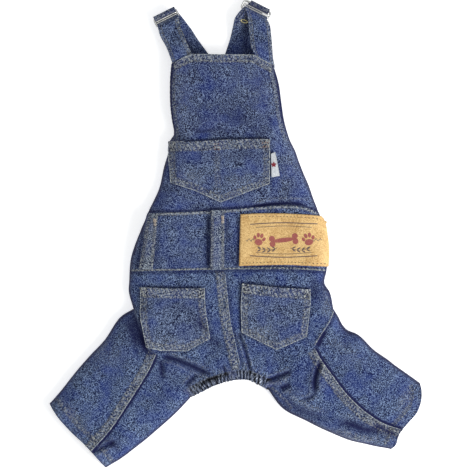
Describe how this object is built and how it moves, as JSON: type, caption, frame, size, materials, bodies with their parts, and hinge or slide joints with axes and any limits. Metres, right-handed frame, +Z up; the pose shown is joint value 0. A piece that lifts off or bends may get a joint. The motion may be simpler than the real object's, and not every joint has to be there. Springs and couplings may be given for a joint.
{
  "type": "pet overalls",
  "caption": "Denim overalls for a small dog, lying flat: bib with straps and slides, waistband, pockets, patch, open legs and a gathered tail hem.",
  "frame": {"origin": "middle of the outline, on the surface that the garment lies on", "axes": "+X to the picture's right, +Y from the legs to the bib's top, +Z up out of the upper cloth"},
  "size_m": [0.2786, 0.3518, 0.0158],
  "materials": {
    "denim": "blue denim twill with faded seams",
    "leather": "matt tan leather",
    "woven": "white woven tape",
    "nickel": "bright nickel"
  },
  "bodies": {
    "root": {"bib_panel": "denim", "belly_panel": "denim", "waistband": "denim", "seat_left": "denim", "seat_right": "denim", "leg_left": "denim", "leg_right": "denim", "tail_hem_upper": "denim", "tail_hem_lower": "denim", "chest_pocket": "denim", "seat_pocket_left": "denim", "seat_pocket_right": "denim", "belt_loop_left": "denim", "belt_loop_centre": "denim", "strap_front_left": "denim", "strap_front_right": "denim", "strap_rear_left": "denim", "strap_rear_right": "denim", "leather_patch": "leather", "side_tab": "woven", "slider_left": "nickel", "slider_right": "nickel"}
  },
  "joints": []
}
